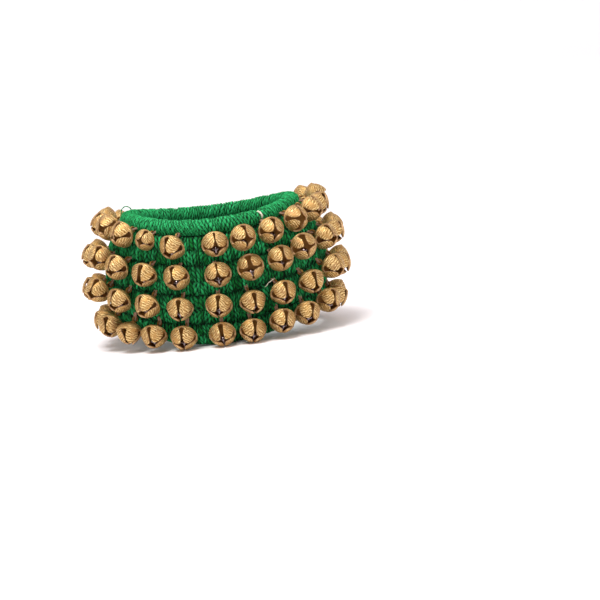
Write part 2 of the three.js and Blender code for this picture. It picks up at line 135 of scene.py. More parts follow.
def tieLevel(row):  # how far down the band a row of bells is tied
    return pad["rollHeight"] + row * pad["rowPitch"]


def padFrame(angle, down):  # point, outward normal and downward direction on the pad's face
    end = sin(angle) ** 2
    topSlant = radians(mix(pad["sideSlant"], pad["endTopSlant"], end))
    bottomSlant = -radians(mix(pad["sideSlant"], pad["endBottomSlant"], end))
    turn = (bottomSlant - topSlant) * down / pad["height"]
    chord = down if abs(turn) < 1e-9 else down * sin(turn / 2) / (turn / 2)
    out = Vector((sin(angle) / topLength, -cos(angle) / topWidth, 0)).normalized()
    point = Vector((topLength * sin(angle), -topWidth * cos(angle), 0))
    point += out * chord * sin(topSlant + turn / 2)
    point.z = pad["height"] / 2 - pad["saddleRise"] * cos(2 * angle)
    point.z -= chord * cos(topSlant + turn / 2)
    slant = topSlant + turn
    normal = out * cos(slant) + Vector((0, 0, sin(slant)))
    downward = out * sin(slant) - Vector((0, 0, cos(slant)))
    return point, normal, downward


middleAngles = [2 * pi * i / pad["girthSteps"] for i in range(pad["girthSteps"] + 1)]
middleRun = [0.0]
for before, here in zip(middleAngles, middleAngles[1:]):
    stretch = padFrame(here, pad["height"] / 2)[0] - padFrame(before, pad["height"] / 2)[0]
    middleRun.append(middleRun[-1] + stretch.length)
girth = middleRun[-1]


@functools.cache
def angleAt(distance):  # distances along the band are measured on its middle line
    turns, rest = divmod(distance, girth)
    i = max(1, bisect.bisect_left(middleRun, rest))
    share = (rest - middleRun[i - 1]) / (middleRun[i] - middleRun[i - 1])
    return mix(middleAngles[i - 1], middleAngles[i], share) + turns * 2 * pi


def onPad(distance, down, out):
    point, normal, downward = padFrame(angleAt(distance), down)
    return point + normal * out


closureMiddle = pad["frontMiddle"] + girth / 2
bandStart = closureMiddle - girth + pad["endGap"] / 2
bandEnd = closureMiddle - pad["endGap"] / 2


def columnRun(offset):  # distance of a column of bells along the band, counted from the gap at the front
    pitch = (girth - pad["frontGapExtra"] - pad["closureSpacing"]) / (2 * pad["columnsPerSide"] - 1)
    steps = offset + 1 if offset < 0 else offset
    halfGap = (pitch + pad["frontGapExtra"]) / 2
    return pad["frontMiddle"] + (-halfGap if offset < 0 else halfGap) + steps * pitch


columnRuns = [columnRun(offset) for offset in range(-pad["columnsPerSide"], pad["columnsPerSide"])]


def linear(hexColour):  # sRGB hex to linear RGBA
    channels = [int(hexColour[i:i + 2], 16) / 255 for i in (1, 3, 5)]
    return [c / 12.92 if c <= 0.04045 else ((c + 0.055) / 1.055) ** 2.4 for c in channels] + [1]


def addNode(tree, kind, inputs=None, **settings):
    node = tree.nodes.new("ShaderNode" + kind)
    for name, value in settings.items():
        setattr(node, name, value)
    for socket, value in (inputs or {}).items():
        if isinstance(value, bpy.types.NodeSocket):
            tree.links.new(value, node.inputs[socket])
        else:
            node.inputs[socket].default_value = value
    return node


def newMaterial(name, paint, *settings):  # the paint function gives what goes on the shader's sockets
    material = bpy.data.materials.new(name)
    material.use_nodes = True
    tree = material.node_tree
    tree.nodes.clear()
    shader = addNode(tree, "BsdfPrincipled", paint(tree, *settings))
    addNode(tree, "OutputMaterial", {"Surface": shader.outputs[0]})
    return material


def surfaceUv(tree):  # every piece has its own UV, in millimetres
    return addNode(tree, "UVMap", uv_map="surface").outputs[0]


def attribute(tree, name):
    return addNode(tree, "Attribute", attribute_name=name).outputs["Fac"]


def noise(tree, place, scale, **more):
    return addNode(tree, "TexNoise", {"Vector": place, "Scale": scale, **more}).outputs[0]


waveScale = 0.314  # scale of the wave texture that sets its bands 1 mm apart


def bands(tree, place, pitchMm, direction, more):
    inputs = {"Vector": place, "Scale": waveScale / pitchMm, **more}
    return addNode(tree, "TexWave", inputs, bands_direction=direction).outputs[1]


def remap(tree, value, fromMin, fromMax, toMin=0, toMax=1, **settings):
    inputs = {"Value": value, "From Min": fromMin, "From Max": fromMax, "To Min": toMin, "To Max": toMax}
    return addNode(tree, "MapRange", inputs, **settings).outputs[0]


def combine(tree, operation, first, second):
    return addNode(tree, "Math", {0: first, 1: second}, operation=operation).outputs[0]


def tint(tree, share, low, high):  # from one colour to another, each a hex value or a socket
    low, high = [linear(end) if isinstance(end, str) else end for end in (low, high)]
    return addNode(tree, "Mix", {0: share, 6: low, 7: high}, data_type="RGBA").outputs[2]


def bump(tree, height, depthMm, strength):
    inputs = {"Height": height, "Distance": depthMm * mm, "Strength": strength}
    return addNode(tree, "Bump", inputs).outputs[0]


# Acrylic yarn, loosely spun: soft, no gloss, with painted shade near black where two strands meet and a
# painted highlight on the strands' crowns
yarnFinish = {
    # the first colour is painted shade where strands meet, the third a painted highlight on their crowns
    "shadedGap": "#011a0a", "strand": "#09742f", "light": "#3acc7d", "sheen": "#5fe09a",
    "fibreMm": 0.45, "fleckMm": 1.1, "bumpMm": 0.2,
    "drawn": (1, 0.35, 1),  # fibres are longer along the strand
}


def acrylicYarn(tree):
    look = yarnFinish
    drawn = addNode(tree, "Mapping", {"Vector": surfaceUv(tree), "Scale": look["drawn"]}).outputs[0]
    fibre = noise(tree, drawn, 1 / look["fibreMm"], Detail=3, Roughness=0.65)
    fleck = noise(tree, drawn, 1 / look["fleckMm"], Detail=2)
    # painted shade: strands go near black towards the gaps between them, broken up by flecks
    shadedAndFlecked = combine(tree, "MULTIPLY", attribute(tree, "paintedShadeDepth"), fleck)
    shade = remap(tree, shadedAndFlecked, 0.1, 0.5, interpolation_type="SMOOTHSTEP")
    base = tint(tree, shade, look["shadedGap"], look["strand"])
    # painted highlight: lighter fibres shown only on the unshaded crowns of the strands
    bright = combine(tree, "MULTIPLY", fibre, attribute(tree, "strandTone"))
    lit = combine(tree, "MULTIPLY", remap(tree, bright, 0.2, 0.62), shade)
    return {
        "Base Color": tint(tree, lit, base, look["light"]),
        "Normal": bump(tree, fibre, look["bumpMm"], 0.9),
        "Roughness": 0.8,
        "Specular IOR Level": 0.15,
        "Sheen Weight": 0.12,
        "Sheen Roughness": 0.45,
        "Sheen Tint": linear(look["sheen"]),
    }


# Cast brass, tumbled and hand-chased: soft gold gloss with short wavy cuts that catch the light, their
# crests tinted pale as a painted highlight
brassFinish = {
    # the second colour is a painted highlight on the crests of the cuts
    "metal": "#c0975a", "bright": "#f0d89c", "cut": "#846030", "stain": "#a8825a",
    "cutMm": 1.25, "uncut": 0.45, "stainMm": 6, "patchMm": 2.4, "pitsPerMm": 1.8, "bumpMm": 0.2,
    "cutWander": {"Distortion": 6.5, "Detail": 2, "Detail Scale": 2.1},
    "bellsApart": (0, 0, 60),  # each bell takes its own slice of the patterns
}


def castBrass(tree):
    look = brassFinish
    own = addNode(tree, "CombineXYZ", {"Z": attribute(tree, "bellTone")}).outputs[0]
    slices = {0: own, 1: look["bellsApart"], 2: surfaceUv(tree)}
    place = addNode(tree, "VectorMath", slices, operation="MULTIPLY_ADD").outputs[0]
    lines = bands(tree, place, look["cutMm"], "Y", look["cutWander"])
    struck = remap(tree, noise(tree, place, 1 / look["patchMm"], Detail=2), 0.36, 0.54)
    cuts = addNode(tree, "Mix", {0: struck, 2: look["uncut"], 3: lines}).outputs[0]
    pits = noise(tree, place, look["pitsPerMm"], Detail=3, Roughness=0.65)
    aged = remap(tree, noise(tree, place, 1 / look["stainMm"], Detail=4, Roughness=0.6), 0.38, 0.72)
    base = tint(tree, aged, look["metal"], look["stain"])
    # painted highlight: the crests of the cuts are tinted pale
    raised = tint(tree, remap(tree, cuts, 0.45, 0.95, 0, 0.85), base, look["bright"])
    return {
        "Metallic": 1,
        "Base Color": tint(tree, remap(tree, cuts, 0.4, 0.06, 0, 0.9), raised, look["cut"]),
        "Roughness": remap(tree, pits, 0.3, 0.7, 0.46, 0.64),
        "Normal": bump(tree, combine(tree, "ADD", cuts, pits), look["bumpMm"], 0.8),
    }


# Brass as cast, left dark inside the bell: dull, red-brown to olive
insideFinish = {"red": "#83501f", "olive": "#b3853a", "patchesPerMm": 0.35, "bumpMm": 0.2}


def darkBrass(tree):
    look = insideFinish
    patch = noise(tree, surfaceUv(tree), look["patchesPerMm"], Detail=4)
    colour = tint(tree, patch, look["red"], look["olive"])
    relief = bump(tree, patch, look["bumpMm"], 0.6)
    return {"Metallic": 0.3, "Roughness": 0.6, "Base Color": colour, "Normal": relief}


# Sawn slot edges, pale where they have rubbed
edgeFinish = {"sawn": "#b88c5c", "rubbed": "#e2c298", "wearPerMm": 0.8}


def brassEdge(tree):
    look = edgeFinish
    wear = noise(tree, surfaceUv(tree), look["wearPerMm"], Detail=2)
    return {"Metallic": 0.8, "Roughness": 0.6, "Base Color": tint(tree, wear, look["sawn"], look["rubbed"])}


# Steel shot gone dull: grey with a brown cast and a small sharp glint
shotFinish = {"steel": "#8c7d7d", "hazePerM": 900}


def steelShot(tree):
    look = shotFinish
    place = addNode(tree, "TexCoord").outputs["Object"]
    haze = noise(tree, place, look["hazePerM"], Detail=2)
    dulled = remap(tree, haze, 0, 1, 0.14, 0.3)
    return {"Metallic": 1, "Roughness": dulled, "Base Color": linear(look["steel"])}


# Cotton twine, two plies twisted: matt, fuzzy, pinkish brown with painted shade dark between the plies, and
# cream where it is clean
twineFinish = {
    # the first colour is painted shade between the plies
    "shadedGap": "#432b22", "ply": "#8f6a55", "fluff": "#b28d77", "clean": "#e9e0cc",
    "fluffPerM": 2600, "bumpMm": 0.1,
}


def cottonTwine(tree):
    look = twineFinish
    place = addNode(tree, "TexCoord").outputs["Object"]
    fluff = noise(tree, place, look["fluffPerM"], Detail=3)
    # painted shade: dark where the plies meet
    base = tint(tree, attribute(tree, "paintedShadeDepth"), look["shadedGap"], look["ply"])
    shadedAndFlecked = tint(tree, fluff, base, look["fluff"])
    colour = tint(tree, attribute(tree, "strandTone"), shadedAndFlecked, look["clean"])
    return {"Roughness": 0.9, "Base Color": colour, "Normal": bump(tree, fluff, look["bumpMm"], 0.7)}


# Plain weave: matt threads over and under, clouded a little by wear
clothFinish = {"wander": {"Distortion": 0.6, "Detail": 1}, "cloudsPerMm": 0.15}


def wovenCloth(tree, dark, light, threadMm, bumpMm):
    look = clothFinish
    uv = surfaceUv(tree)
    weave = combine(tree, "MULTIPLY", *[bands(tree, uv, threadMm, way, look["wander"]) for way in "XY"])
    shade = combine(tree, "ADD", weave, noise(tree, uv, look["cloudsPerMm"], Detail=3))
    colour = tint(tree, remap(tree, shade, 0.3, 1.3), dark, light)
    return {"Roughness": 0.85, "Base Color": colour, "Normal": bump(tree, weave, bumpMm, 0.8)}


# One even colour: sewing thread with a slight silk, and the dull paint of the floor
def plainColour(tree, colour, roughness):
    return {"Base Color": linear(colour), "Roughness": roughness}


yarnMaterial = newMaterial("acrylic_yarn", acrylicYarn)
brassMaterials = [
    newMaterial("cast_brass", castBrass),
    newMaterial("unpolished_brass", darkBrass),
    newMaterial("filed_brass_edge", brassEdge),
]
steelMaterial = newMaterial("steel_shot", steelShot)
twineMaterial = newMaterial("cotton_twine", cottonTwine)
liningMaterial = newMaterial("cotton_lining", wovenCloth, "#06331d", "#0f6b3b", 0.6, 0.15)
webbingMaterial = newMaterial("polyester_webbing", wovenCloth, "#053a20", "#0c7a44", 1.1, 0.3)
loopMaterial = newMaterial("loop_tape_nylon", wovenCloth, "#062415", "#175a38", 0.45, 0.35)
hookMaterial = newMaterial("hook_tape_nylon", wovenCloth, "#04180e", "#1d6a45", 0.8, 0.5)
threadMaterial = newMaterial("polyester_thread", plainColour, "#2fae6c", 0.5)
print("materials made")


# A grid of columns by rows, each corner placed by a function that gives its place, UV and values
def bentGrid(bm, columns, rows, place):
    uvLayer = bm.loops.layers.uv.verify()
    values = bm.verts.layers.float
    layers = [values.get(name) or values.new(name) for name in place(0, 0)[2]]
    made = bmesh.ops.create_grid(bm, x_segments=columns, y_segments=rows, size=1)["verts"]
    spots = {}
    for vert in made:
        i = round((vert.co.x + 1) / 2 * columns)
        j = round((vert.co.y + 1) / 2 * rows)
        vert.co, spots[vert], given = place(i, j)
        for layer, value in zip(layers, given.values()):
            vert[layer] = value
    faces = {face for vert in made for face in vert.link_faces}
    smoothFaces(faces)
    for face in faces:
        for loop in face.loops:
            loop[uvLayer].uv = spots[loop.vert]


def finishPiece(bm, name, body, materials, replaced=(), weld=0.001):
    if weld:
        bmesh.ops.remove_doubles(bm, verts=bm.verts[:], dist=weld)
        bmesh.ops.holes_fill(bm, edges=[edge for edge in bm.edges if edge.is_boundary], sides=0)
        bmesh.ops.recalc_face_normals(bm, faces=bm.faces[:])
        if bm.calc_volume(signed=True) < 0:  # a thin band can come out inside out
            bmesh.ops.reverse_faces(bm, faces=bm.faces[:])
    bmesh.ops.scale(bm, vec=(mm, mm, mm), verts=bm.verts[:])
    mesh = toMesh(bm, name, materials)
    mesh.uv_layers[0].name = "surface"
    piece = addObject(name, mesh)
    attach(piece, body)
    if replaced:
        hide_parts(*replaced)
    return piece


# Yarn wound over the padding: strands of two plies lie side by side across each rib and lean at random
yarn = {
    "strandMm": 2.2, "unevenness": 0.38, "leanMm": 0.95, "zigzag": 0.35, "stagger": 0.3,
    "reliefMm": 0.95, "middleHeight": 0.7, "liftMm": 0.4, "plyMm": 0.6, "plyTurnMm": 3.4, "plyShade": 0.3,
    "samplesPerStrand": 8, "rowsPerRib": 15, "endOverlapMm": 1.1, "spareMm": 12,
    "crownMm": 0.2, "edgePower": 2.6, "edgeFlat": 0.4,
    "grooveMm": -1.5, "grooveShade": 0.55,  # along the tie lines
    "channelMm": -0.7, "channelShade": 0.35,  # between the two ribs of a course
    "waverMm": 0.9, "waverRuns": (5.3, 2.1), "waverRipple": 0.6, "waverShift": 2.7,
    "tones": (0.3, 1), "back": {"strandTone": 0.3, "paintedShadeDepth": 0.4}, "backInsetMm": 0.4,
    "rollGrowMm": 0.5, "rollRiseMm": 0.7, "rollSinkMm": 0.2, "rollTwistMm": 2.6, "rollRelief": 0.8,
    # painted light for the top roll: how far its strands are paled
    "rollPaintedLight": 0.55, "rollSides": 34,
    "pinchMm": 0.5, "pinchWidthMm": 1.7, "tightPinchMm": 1.5, "tightColumn": 12,
    "pulledLoop": (  # distance along the band, degrees round the roll, depth in it
        (-90, 12, 1), (-89.5, 16, -1.4), (-89, 29, -3.8), (-88.5, 48, -4.9), (-88, 67, -3.9),
        (-87.5, 80, -1.5), (-87, 84, 1),
    ),
    "pulledRadius": 0.36, "pulledTone": 0.9,
    "seed": 7,
}
yarnStart = bandStart - yarn["endOverlapMm"]
yarnEnd = bandEnd + yarn["endOverlapMm"]
rollRadius = (pad["rollHeight"] - pad["seat"]) / 2
rollDown = pad["rollHeight"] / 2 - yarn["rollRiseMm"]
rollOut = pad["seat"] - pad["thickness"] / 2


def waver(run, seed):  # a slow wander of the lines between ribs, in millimetres
    slow = sin(run / yarn["waverRuns"][0] + seed)
    quick = sin(run / yarn["waverRuns"][1] + yarn["waverShift"] * seed)
    return yarn["waverMm"] * (slow + yarn["waverRipple"] * quick) / (1 + yarn["waverRipple"])


def windStrands(seed):  # where one strand ends and the next begins, and what each is like
    rng = random.Random(yarn["seed"] + seed)
    edges = [bandStart - yarn["spareMm"]]
    while edges[-1] < bandEnd + yarn["spareMm"]:
        width = rng.uniform(1 - yarn["unevenness"], 1 + yarn["unevenness"])
        edges.append(edges[-1] + yarn["strandMm"] * width)
    leans = [yarn["leanMm"] * (rng.uniform(-1, 1) + yarn["zigzag"] * (-1) ** i) for i in range(len(edges))]
    strands = [{
        "tone": rng.uniform(*yarn["tones"]),
        "lift": rng.uniform(-1, 1) * yarn["liftMm"],
        "stagger": rng.uniform(-1, 1) * yarn["stagger"],
        "phase": rng.random(),
        "turn": rng.choice((-1, 1)),
    } for _ in edges]
    return edges, leans, strands


def strandAt(winding, run, across):  # the strand at one spot, and the share of its width
    edges, leans, strands = winding

    def line(i):
        return edges[i] + leans[i] * (across - 0.5)

    i = bisect.bisect_right(edges, run)
    while run < line(i - 1):
        i -= 1
    while run > line(i):
        i += 1
    return strands[i], (run - line(i - 1)) / (line(i) - line(i - 1))


def strandSurface(strand, share, along):  # height of the strand, and how far it is from the gaps
    # the second value sets the painted shade, dark towards the gaps between strands
    full = sqrt(max(0, 1 - (2 * share - 1) ** 2))
    ply = abs(sin(pi * (share + strand["turn"] * along / yarn["plyTurnMm"] + strand["phase"])))
    height = yarn["reliefMm"] * (full - yarn["middleHeight"]) + yarn["plyMm"] * (ply - 0.5) * full
    return height + strand["lift"], full * mix(yarn["plyShade"], 1, ply)


bandColumns = round((yarnEnd - yarnStart) / yarn["strandMm"] * yarn["samplesPerStrand"])


def yarnCourse(name, top, bottom, seed):  # two ribs, one above the other
    count = yarn["rowsPerRib"]
    half = (bottom - top) / 2
    rows = [(0, k / count, top + half * k / count) for k in range(count + 1)]
    rows += [(1, k / count, top + half + half * k / count) for k in range(1, count + 1)]
    windings = [windStrands(seed * 10 + rib) for rib in range(2)]
    front = len(rows)
    backDowns = [bottom - yarn["backInsetMm"], top + yarn["backInsetMm"]]

    def place(i, j):
        run = mix(yarnStart, yarnEnd, i / bandColumns)
        if front <= j < front + 2:
            down = backDowns[j - front]
            return onPad(run, down, padBack), (run, down), yarn["back"]
        rib, across, down = rows[j % (front + 2)]
        strand, share = strandAt(windings[rib], run, across)
        height, depth = strandSurface(strand, share, down)
        shifted = min(1, max(0, across + strand["stagger"] * sin(pi * across)))
        edge = abs(2 * shifted - 1) ** yarn["edgePower"]
        inner = (across > 0.5) == (rib == 0)
        groove = yarn["channelMm"] if inner else yarn["grooveMm"]
        out = mix(yarn["crownMm"], groove, edge) + height * (1 - yarn["edgeFlat"] * edge)
        # painted shade deepens into the groove along each tie line and the channel between the ribs
        depth *= 1 - yarn["channelShade" if inner else "grooveShade"] * edge
        if inner:
            down += waver(run, seed) * edge
        return onPad(run, down, out), (run, down), {"strandTone": strand["tone"], "paintedShadeDepth": depth}

    bm = bmesh.new()
    bentGrid(bm, bandColumns, front + 2, place)
    piece = finishPiece(bm, name + "_yarn", "band", [yarnMaterial], [name])


def pinch(run):  # how far the twines draw the roll in
    depth = 0
    for column, spot in enumerate(columnRuns, 1):
        deepest = yarn["tightPinchMm"] if column == yarn["tightColumn"] else yarn["pinchMm"]
        depth += deepest * exp(-((run - spot) / yarn["pinchWidthMm"]) ** 2)
    return depth


def yarnRoll(name, seed):
    winding = windStrands(seed)
    radius = rollRadius + yarn["rollGrowMm"]
    around = yarn["rollSides"]

    def place(i, j):
        run = mix(yarnStart, yarnEnd, i / bandColumns)
        turn = 2 * pi * (j % around) / around - pi / 2
        wound = run + yarn["rollTwistMm"] * sin(turn)
        strand, share = strandAt(winding, wound, 0.5 + 0.5 * cos(turn))
        height, depth = strandSurface(strand, share, radius * abs(turn - pi / 2))
        reach = radius - yarn["rollSinkMm"] + height * yarn["rollRelief"] - pinch(run)
        point, normal, downward = padFrame(angleAt(run), rollDown)
        point += normal * (rollOut + reach * cos(turn)) - downward * reach * sin(turn)
        # painted light: the whole top roll is made paler, as if lit more from above
        tone = mix(strand["tone"], 1, yarn["rollPaintedLight"])
        return point, (run, radius * turn), {"strandTone": tone, "paintedShadeDepth": depth}

    bm = bmesh.new()
    bentGrid(bm, bandColumns, around, place)
    piece = finishPiece(bm, name + "_yarn", "band", [yarnMaterial], [name])


yarnRoll("top_roll", 1)
for course in range(1, pad["rows"]):
    yarnCourse(f"course_{course}", tieLevel(course - 1), tieLevel(course), 1 + course)
yarnCourse("bottom_course", tieLevel(pad["rows"] - 1), pad["height"], 6)


# Loose fibres that stand off the yarn and blur its outline
fuzz = {
    "padCount": 10000, "rollCount": 4000, "lengthMm": (0.8, 2.4), "thickMm": 0.11,
    "standMm": 0.8, "bendStand": (0.3, 1), "tipStand": (-0.4, 1.4), "stray": 0.6, "tipStrayMm": 0.4,
    "rollTurns": (-0.3, 1.1),  # from the lower front over to the back, in half turns
    "rollSinkMm": 0.3, "hemMm": 2, "tones": (0.4, 1), "seed": 3,
}


def addFibre(bm, root, normal, ahead, rng):
    length = rng.uniform(*fuzz["lengthMm"])
    side = normal.cross(ahead).normalized()
    ahead = (ahead + side * rng.gauss(0, fuzz["stray"])).normalized() * rng.choice((-1, 1))
    side = normal.cross(ahead)
    bend = root + ahead * length / 2 + normal * rng.uniform(*fuzz["bendStand"]) * fuzz["standMm"]
    tip = root + ahead * length + normal * rng.uniform(*fuzz["tipStand"]) * fuzz["standMm"]
    tip += side * rng.gauss(0, fuzz["tipStrayMm"])
    corners = [normal * fuzz["thickMm"] / 2, -side * fuzz["thickMm"] / 2, side * fuzz["thickMm"] / 2]
    foot = [bm.verts.new(root + corner) for corner in corners]
    waist = [bm.verts.new(bend + corner) for corner in corners]
    end = bm.verts.new(tip)
    for i in range(3):
        j = (i + 1) % 3
        bm.faces.new((foot[i], foot[j], waist[j], waist[i]))
        bm.faces.new((waist[i], waist[j], end))
    bm.faces.new(foot[::-1])
    return foot + waist + [end]


def yarnFuzz():
    rng = random.Random(fuzz["seed"])
    bm = bmesh.new()
    uvLayer = bm.loops.layers.uv.verify()
    tone = bm.verts.layers.float.new("strandTone")
    depth = bm.verts.layers.float.new("paintedShadeDepth")
    radius = rollRadius + yarn["rollGrowMm"] - fuzz["rollSinkMm"]
    for k in range(fuzz["padCount"] + fuzz["rollCount"]):
        run = rng.uniform(yarnStart, yarnEnd)
        if k < fuzz["padCount"]:
            down = rng.uniform(pad["rollHeight"], pad["height"] - fuzz["hemMm"])
            point, normal, ahead = padFrame(angleAt(run), down)
        else:
            point, out, downward = padFrame(angleAt(run), rollDown)
            turn = rng.uniform(*fuzz["rollTurns"]) * pi
            normal = out * cos(turn) - downward * sin(turn)
            ahead = out * sin(turn) + downward * cos(turn)
            point += out * rollOut + normal * radius
        bright = rng.uniform(*fuzz["tones"])
        for vert in addFibre(bm, point, normal, ahead, rng):
            vert[tone] = bright
            vert[depth] = 1
    for face in bm.faces:
        for loop in face.loops:
            loop[uvLayer].uv = (loop.vert.co.x, loop.vert.co.z)
    finishPiece(bm, "yarn_fuzz", "band", [yarnMaterial], (), None)


yarnFuzz()
print("yarn wound")


# Lining against the leg: plain cloth, drawn in a little along the tie lines
lining = {
    "columns": 240, "rows": 36, "topInset": -0.8, "bottomInset": 2.2,
    "tuckMm": 0.5, "tuckPower": 6, "edgeMm": 0.9, "hemMm": 2,
}


def liningBand():
    top = pad["rollHeight"] + lining["topInset"]
    bottom = pad["height"] - lining["bottomInset"]
    front = padBack - pad["seat"]
    inner = lining["rows"]

    def place(i, j):
        run = mix(bandStart, bandEnd, i / lining["columns"])
        if inner < j < inner + 3:
            down = bottom if j == inner + 1 else top
            return onPad(run, down, front), (run, down), {}
        share = (j % (inner + 3)) / inner
        down = mix(top, bottom, share)
        tuck = 0.5 + 0.5 * cos(2 * pi * (down - pad["rollHeight"]) / pad["rowPitch"])
        hem = max(0, 1 - min(down - top, bottom - down) / lining["hemMm"]) ** 2
        out = -pad["thickness"] + lining["tuckMm"] * tuck ** lining["tuckPower"] + lining["edgeMm"] * hem
        return onPad(run, down, out), (run, down), {}

    bm = bmesh.new()
    bentGrid(bm, lining["columns"], inner + 3, place)
    piece = finishPiece(bm, "lining_cloth", "band", [liningMaterial], ["lining_band"])


liningBand()
print("lining made")


# Bells: one shape in a few openings of the slots, then one copy for each place
bell = {
    "radius": 8.5, "petalDepth": 9.2, "domeHeight": 5.8, "wall": 0.9,
    "fullness": 1.65,  # 2 is round, less draws the profile in towards the pole
    "seamBead": 0.28, "beadMm": 0.55, "edgeBevel": 0.2, "edgeAngle": 50,
    "tipRound": 0.36, "tipBlunt": 2.6, "petalSetMm": 0.35,
    "slotStart": 0.2, "slotPeak": 0.85, "slotEnd": 0.55, "slotFlare": 1.8, "slotLimit": 0.7,
    "starEnd": 0.36, "starFlare": 1.5,
    "petalSteps": 12, "petalRows": (8, 5, 7),  # along the tip, the arms of the slots and their ends
    "domeAngles": (86, 88.3, 90, 91.7, 95, 105, 117, 130, 144, 158, 170, 179.9),
    "chevron": 0.4, "chevronTip": 1.2, "quarterApart": 40,  # of the chased lines
    "castings": [  # least and most width of the slots' four arms, then the tips' reach and the star's
        (((0.9, 1.7), (0.9, 5.4), (1.6, 5.0), (0.9, 5.8)), 2.7, 0.6),
        (((1.0, 4.2), (0.7, 4.4), (0.7, 1.9), (0.7, 5.6)), 2.5, 0.2),
        (((1.4, 3.6), (0.9, 3.8), (0.9, 2.2), (0.9, 5.4)), 2.3, 0.2),
        (((2.6, 6.0), (1.2, 4.2), (1.0, 3.0), (1.8, 6.0)), 2.7, 0.4),
        (((2.4, 3.8), (0.9, 4.6), (0.9, 2.4), (0.9, 5.2)), 2.3, 0.2),
    ],
    "eyeNeck": 2.4, "eyeHole": 1.05, "eyeWall": 0.5,
    "droop": 36, "rowDroop": -3, "looseness": 7, "hangLimit": 17, "faceLimit": 38,  # degrees
    "pelletRadius": 2.7, "pelletRoom": 1.1,
    "seed": 5,
}
eyeReach = bell["domeHeight"] + bell["eyeNeck"]


def slotHalf(share, star, least, most):  # half the slot's width, from the pole end to the seam end
    start, peak = bell["slotStart"], bell["slotPeak"]
    if share < peak:
        flare = max(0, (share - start) / (peak - start)) ** bell["slotFlare"]
        crossing = star * max(0, 1 - share / bell["starEnd"]) ** bell["starFlare"]
        return mix(least, most, flare) / 2 + crossing
    return most / 2 * sqrt(max(0, 1 - ((share - peak) / (1 - peak)) ** 2))


def bellShell(casting, rng):  # four petals and their shares of the dome, about the middle of the seam
    slots, tipReach, star = casting
    radius, depth, dome = bell["radius"] - bell["seamBead"], bell["petalDepth"], bell["domeHeight"]
    bend = 2 / bell["fullness"]
    tip = asin((tipReach / radius) ** (1 / bend))
    end = acos((bell["slotEnd"] / depth) ** (1 / bend))
    tipRound, blunt = bell["tipRound"], bell["tipBlunt"]
    tipRows, armRows, endRows = bell["petalRows"]
    steps = bell["petalSteps"]
    shares = [tipRound * (1 - cos(k / tipRows * pi / 2)) for k in range(tipRows)]
    shares += [mix(tipRound, bell["slotPeak"], k / armRows) for k in range(armRows)]
    shares += [mix(bell["slotPeak"], 1, sin(k / endRows * pi / 2)) for k in range(endRows + 1)]
    rows = [mix(tip, end, share) for share in shares]
    rows += [radians(degrees) for degrees in bell["domeAngles"]]
    bm = bmesh.new()
    for quarter in range(4):
        sides = (slots[quarter], slots[(quarter + 1) % 4])
        pressed = rng.uniform(-1, 1) * bell["petalSetMm"]

        def place(i, j):
            polar = rows[j]
            across = 2 * i / steps - 1
            ring = radius * sin(polar) ** bend
            reach = pi / 4
            if j < len(shares):
                half = slotHalf(shares[j], star, *sides[across > 0])
                reach -= asin(min(bell["slotLimit"], half / ring))
                reach *= max(0, 1 - max(0, 1 - shares[j] / tipRound) ** blunt) ** (1 / blunt)
            turn = pi / 4 + quarter * pi / 2 + across * reach
            height = abs(cos(polar)) ** bend * (-depth if polar < pi / 2 else dome)
            offset = across * reach * ring
            rise = bell["chevron"] * hypot(offset, bell["chevronTip"])
            chevron = (offset + quarter * bell["quarterApart"], polar * radius - rise)
            if j < len(shares):
                ring += pressed * (1 - shares[j]) ** 2
                height -= pressed * (1 - shares[j]) ** 2 / 2
            ring += bell["seamBead"] * exp(-(height / bell["beadMm"]) ** 2)
            return Vector((ring * cos(turn), ring * sin(turn), height)), chevron, {}

        bentGrid(bm, steps, len(rows) - 1, place)
    bmesh.ops.remove_doubles(bm, verts=bm.verts[:], dist=0.004)
    bmesh.ops.recalc_face_normals(bm, faces=bm.faces[:])
    holder = addObject("bell_shell", toMesh(bm, "bell_shell", brassMaterials))
    wall = holder.modifiers.new("wall", "SOLIDIFY")
    wall.thickness = bell["wall"]
    wall.offset = -1
    wall.material_offset = 1
    wall.material_offset_rim = 2
    edge = holder.modifiers.new("edge", "BEVEL")
    edge.width = bell["edgeBevel"]
    edge.segments = 2
    edge.limit_method = "ANGLE"
    edge.angle_limit = radians(bell["edgeAngle"])
    made = bpy.data.meshes.new_from_object(holder.evaluated_get(bpy.context.evaluated_depsgraph_get()))
    bpy.data.objects.remove(holder)
    return made


lug = {"rodGrow": 1.15, "neckFoot": 2.1, "neckTop": 0.9, "neckHeight": 1.6, "neckLift": 0.35}


def bellEye():  # pierced lug on the crown, its hole along X
    bm = bmesh.new()
    bm.loops.layers.uv.verify()
    middle = Vector((0, 0, eyeReach))
    rod = bmesh.ops.create_circle(bm, segments=10, radius=bell["eyeWall"] * lug["rodGrow"])
    ring = bell["eyeHole"] + bell["eyeWall"]
    bmesh.ops.rotate(bm, verts=rod["verts"], cent=(0, 0, 0), matrix=Matrix.Rotation(pi / 2, 3, "X"))
    bmesh.ops.translate(bm, verts=rod["verts"], vec=middle + Vector((0, 0, ring)))
    bmesh.ops.spin(bm, geom=bm.verts[:] + bm.edges[:], cent=middle, axis=(1, 0, 0),
                   angle=pi * 2, steps=20, use_merge=True)
    neck = bmesh.ops.create_cone(bm, cap_ends=True, segments=16, radius1=lug["neckFoot"],
                                 radius2=lug["neckTop"], depth=lug["neckHeight"])
    bmesh.ops.translate(bm, verts=neck["verts"], vec=(0, 0, bell["domeHeight"] + lug["neckLift"]))
    smoothFaces(bm.faces)
    bmesh.ops.recalc_face_normals(bm, faces=bm.faces[:])
    return toMesh(bm, "bell_lug")


